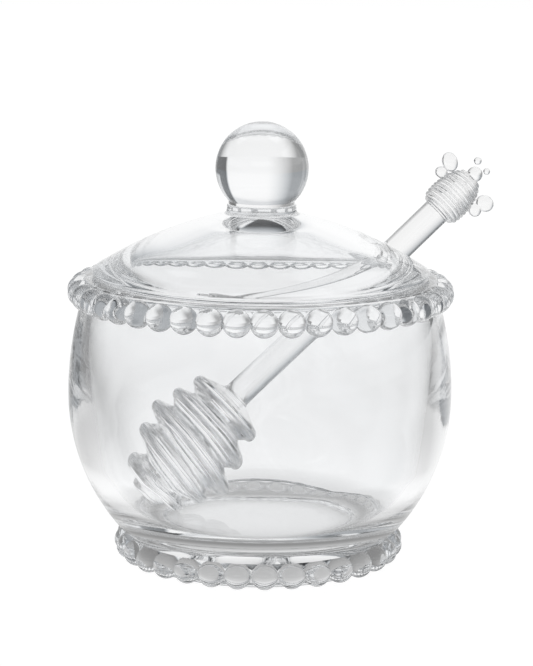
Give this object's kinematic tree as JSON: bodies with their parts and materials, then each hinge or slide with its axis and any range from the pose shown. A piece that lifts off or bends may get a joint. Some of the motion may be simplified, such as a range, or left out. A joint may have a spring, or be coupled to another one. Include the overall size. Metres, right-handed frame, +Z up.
{
  "type": "honey pot",
  "caption": "Round clear glass honey pot with beaded rim and foot, a lift-off domed lid with a ball knob and a notch, and a ribbed glass dipper that leans out through it.",
  "frame": {"origin": "on the pot's axis, in the plane that the foot ring stands on", "axes": "+Z up, -Y the side that the picture shows, and the dipper leans out towards +X and a little towards +Y"},
  "size_m": [0.1287, 0.114, 0.1296],
  "materials": {
    "pot_glass": "clear pressed glass, fire-polished and smooth",
    "lid_glass": "clear pressed glass, fire-polished and smooth",
    "dipper_glass": "clear glass rod, worked hot, smooth with fine wound lines in the ribs",
    "bee_glass": "clear glass, worked hot, wound in fine threads"
  },
  "bodies": {
    "pot": {"pot": "pot_glass"},
    "dipper": {"dipper_head": "dipper_glass", "dipper_shaft": "dipper_glass", "bee_body": "bee_glass", "bee_head": "bee_glass", "feeler_left": "bee_glass", "feeler_right": "bee_glass", "wing_fore_left": "bee_glass", "wing_fore_right": "bee_glass", "wing_hind_left": "bee_glass", "wing_hind_right": "bee_glass"},
    "lid": {"lid": "lid_glass"}
  },
  "joints": [
    {"name": "dipper_lift", "type": "slide", "parent": "pot", "child": "dipper", "axis": [0, 0, 1], "range_m": [0, 0.085]},
    {"name": "lid_lift", "type": "slide", "parent": "dipper", "child": "lid", "axis": [0, 0, 1], "range_m": [0, 0.07]}
  ]
}
